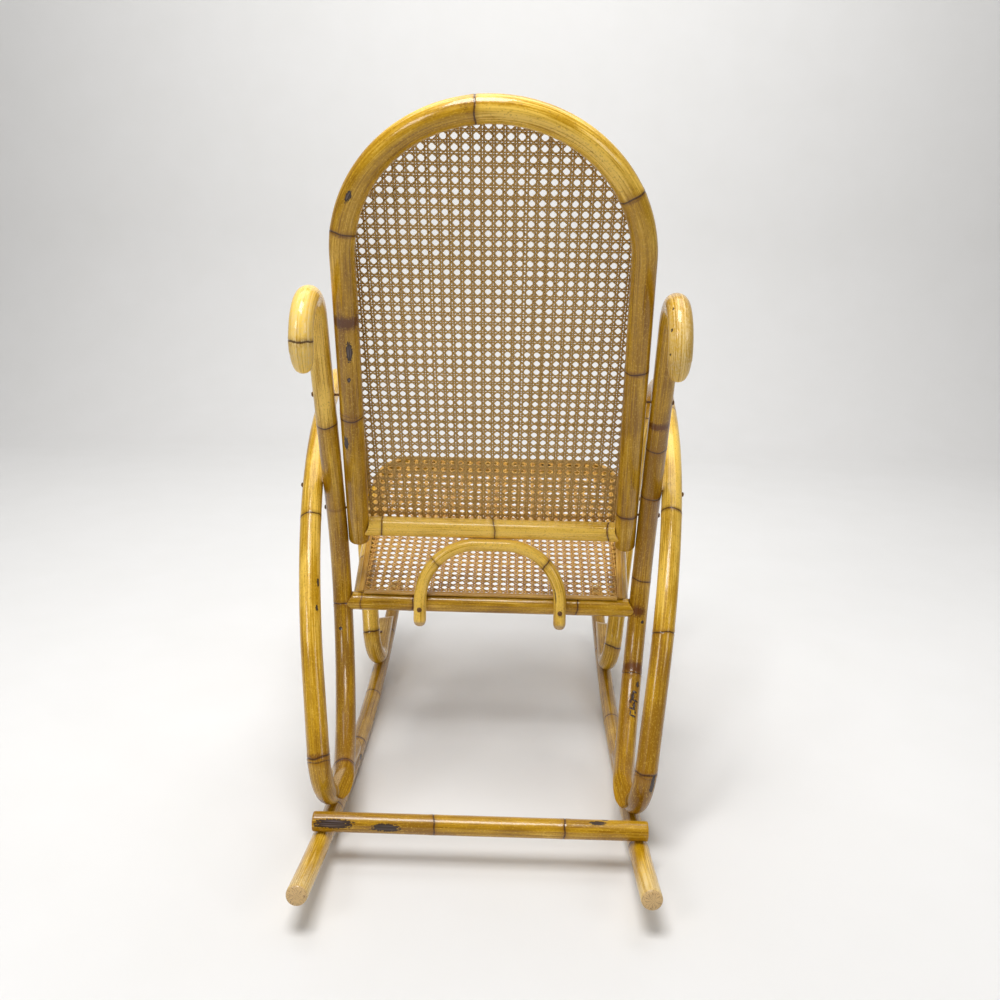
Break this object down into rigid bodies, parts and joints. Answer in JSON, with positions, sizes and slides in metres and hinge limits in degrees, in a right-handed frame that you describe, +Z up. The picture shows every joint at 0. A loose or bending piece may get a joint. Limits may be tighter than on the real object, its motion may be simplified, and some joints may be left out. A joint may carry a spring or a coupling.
{
  "type": "rocking chair",
  "caption": "Bent rattan rocking chair with an arched cane back, cane seat, looping side poles that form the armrests, and pole rockers.",
  "frame": {"origin": "on the floor, under the centre of the chair's outline seen from above", "axes": "+Z up, the sitter faces -Y, +X is the sitter's left side"},
  "size_m": [0.6786, 1.0791, 1.0854],
  "materials": {
    "rattan_pole": "varnished",
    "rattan_strip": "varnished",
    "cane_weave": "satin",
    "screw_steel": "dull",
    "dowel_wood": "bare"
  },
  "bodies": {
    "root": {"back_arch": "rattan_pole", "back_bottom_rail": "rattan_pole", "left_upright": "rattan_pole", "right_upright": "rattan_pole", "left_side_scroll": "rattan_pole", "right_side_scroll": "rattan_pole", "left_rocker": "rattan_pole", "right_rocker": "rattan_pole", "rear_stretcher": "rattan_pole", "seat_rear_rail": "rattan_pole", "seat_hoop": "rattan_pole", "brace_arch": "rattan_pole", "back_cane": "cane_weave", "seat_cane": "cane_weave", "back_binding": "rattan_strip", "seat_binding": "rattan_strip", "crossing_screws": "screw_steel", "seat_screws": "screw_steel", "arch_screws": "screw_steel", "brace_screws": "screw_steel", "foot_screws": "screw_steel", "rail_dowels": "dowel_wood", "joint_pegs": "dowel_wood"}
  },
  "joints": []
}
